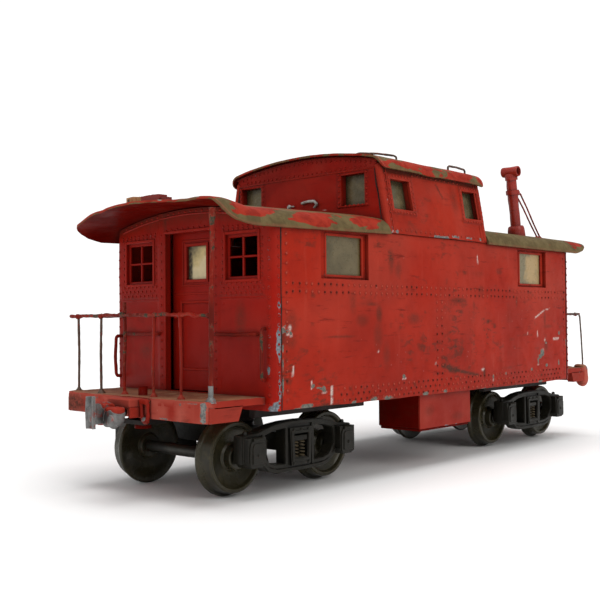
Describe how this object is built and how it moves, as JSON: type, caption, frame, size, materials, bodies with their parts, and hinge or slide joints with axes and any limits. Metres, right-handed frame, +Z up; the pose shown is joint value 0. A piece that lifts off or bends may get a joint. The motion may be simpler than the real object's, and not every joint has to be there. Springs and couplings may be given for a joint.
{
  "type": "model caboose",
  "caption": "O scale railway caboose with a roof cupola, open end platforms with wire railings, a smokestack, an underbody toolbox, swivelling trucks and knuckle couplers.",
  "frame": {"origin": "centre of the wheel contact plane, halfway between the two trucks", "axes": "+X along the car towards end B, +Y to the side away from the toolbox, +Z up"},
  "size_m": [0.2044, 0.0628, 0.0928],
  "materials": {
    "red_paint": "chipped semi-gloss red paint over sheet metal",
    "dark_red_paint": "red paint, smoother and darker in the shade of the canopy",
    "platform_paint": "red paint with dusty tan tread surface",
    "floor_wood": "bare sawn wood",
    "black_underframe": "flat black paint",
    "cast_side_frame": "blackened casting, dusty",
    "wheel_iron": "blackened turned metal with a dull sheen",
    "axle_steel": "darkened steel",
    "coupler_zinc": "bare grey die casting with remnants of red paint",
    "screw_steel": "plain steel",
    "cloudy_pane": "aged cloudy sheet glazing",
    "door_pane": "aged cream sheet glazing",
    "olive_roof": "worn olive-brown paint with red patches",
    "painted_wire": "thin painted wire",
    "stack_paint": "faded red paint"
  },
  "bodies": {
    "car_body": {"floor_plate": "floor_wood", "center_sill": "black_underframe", "body_bolsters": "black_underframe", "side_left": "red_paint", "side_right": "red_paint", "end_wall_a": "dark_red_paint", "end_wall_b": "dark_red_paint", "door_a": "dark_red_paint", "door_b": "dark_red_paint", "end_sashes_a": "red_paint", "end_sashes_b": "red_paint", "side_window_frames": "red_paint", "side_glazing_left": "cloudy_pane", "side_glazing_right": "cloudy_pane", "door_glazing": "door_pane", "main_roof_a": "olive_roof", "main_roof_b": "olive_roof", "roof_walk_stub": "red_paint", "cupola_side_left": "red_paint", "cupola_side_right": "red_paint", "cupola_end_a": "dark_red_paint", "cupola_end_b": "dark_red_paint", "cupola_roof": "olive_roof", "cupola_glazing": "cloudy_pane", "cupola_grab_irons": "painted_wire", "stack_tube": "stack_paint", "stack_collar": "stack_paint", "stack_cap": "stack_paint", "stack_clamp": "stack_paint", "stack_stays": "painted_wire", "toolbox": "red_paint", "platform_a": "platform_paint", "platform_b": "platform_paint", "end_railing_a": "painted_wire", "end_railing_b": "painted_wire", "brake_staff_a": "painted_wire", "brake_staff_b": "painted_wire", "grab_irons_a": "painted_wire", "grab_irons_b": "painted_wire", "lift_brackets": "painted_wire", "coupler_pocket_a": "dark_red_paint", "coupler_pocket_b": "dark_red_paint", "coupler_screws": "screw_steel", "kingpin_screws": "screw_steel"},
    "coupler_a_head": {"coupler_a": "coupler_zinc"},
    "coupler_b_head": {"coupler_b": "coupler_zinc"},
    "truck_a": {"truck_bolster_a": "black_underframe", "side_frame_a_left": "cast_side_frame", "side_frame_a_right": "cast_side_frame"},
    "truck_b": {"truck_bolster_b": "black_underframe", "side_frame_b_left": "cast_side_frame", "side_frame_b_right": "cast_side_frame"},
    "wheelset_a1": {"axle_a1": "axle_steel", "wheels_a1": "wheel_iron"},
    "wheelset_a2": {"axle_a2": "axle_steel", "wheels_a2": "wheel_iron"},
    "wheelset_b1": {"axle_b1": "axle_steel", "wheels_b1": "wheel_iron"},
    "wheelset_b2": {"axle_b2": "axle_steel", "wheels_b2": "wheel_iron"}
  },
  "joints": [
    {"name": "truck_a_swivel", "type": "hinge", "parent": "car_body", "child": "truck_a", "pos_m": [-0.05735, 0, 0.0155], "axis": [0, 0, 1], "range_deg": [-12, 12]},
    {"name": "wheelset_a1_spin", "type": "hinge", "parent": "truck_a", "child": "wheelset_a1", "pos_m": [-0.0735, 0, 0.0095], "axis": [0, 1, 0], "continuous": true},
    {"name": "wheelset_a2_spin", "type": "hinge", "parent": "truck_a", "child": "wheelset_a2", "pos_m": [-0.0412, 0, 0.0095], "axis": [0, 1, 0], "continuous": true},
    {"name": "coupler_a_swing", "type": "hinge", "parent": "car_body", "child": "coupler_a_head", "pos_m": [-0.0867, 0, 0.02], "axis": [0, 0, 1], "range_deg": [-10, 10]},
    {"name": "truck_b_swivel", "type": "hinge", "parent": "car_body", "child": "truck_b", "pos_m": [0.05735, 0, 0.0155], "axis": [0, 0, 1], "range_deg": [-12, 12]},
    {"name": "wheelset_b1_spin", "type": "hinge", "parent": "truck_b", "child": "wheelset_b1", "pos_m": [0.0412, 0, 0.0095], "axis": [0, 1, 0], "continuous": true},
    {"name": "wheelset_b2_spin", "type": "hinge", "parent": "truck_b", "child": "wheelset_b2", "pos_m": [0.0735, 0, 0.0095], "axis": [0, 1, 0], "continuous": true},
    {"name": "coupler_b_swing", "type": "hinge", "parent": "car_body", "child": "coupler_b_head", "pos_m": [0.0867, 0, 0.02], "axis": [0, 0, 1], "range_deg": [-10, 10]}
  ]
}
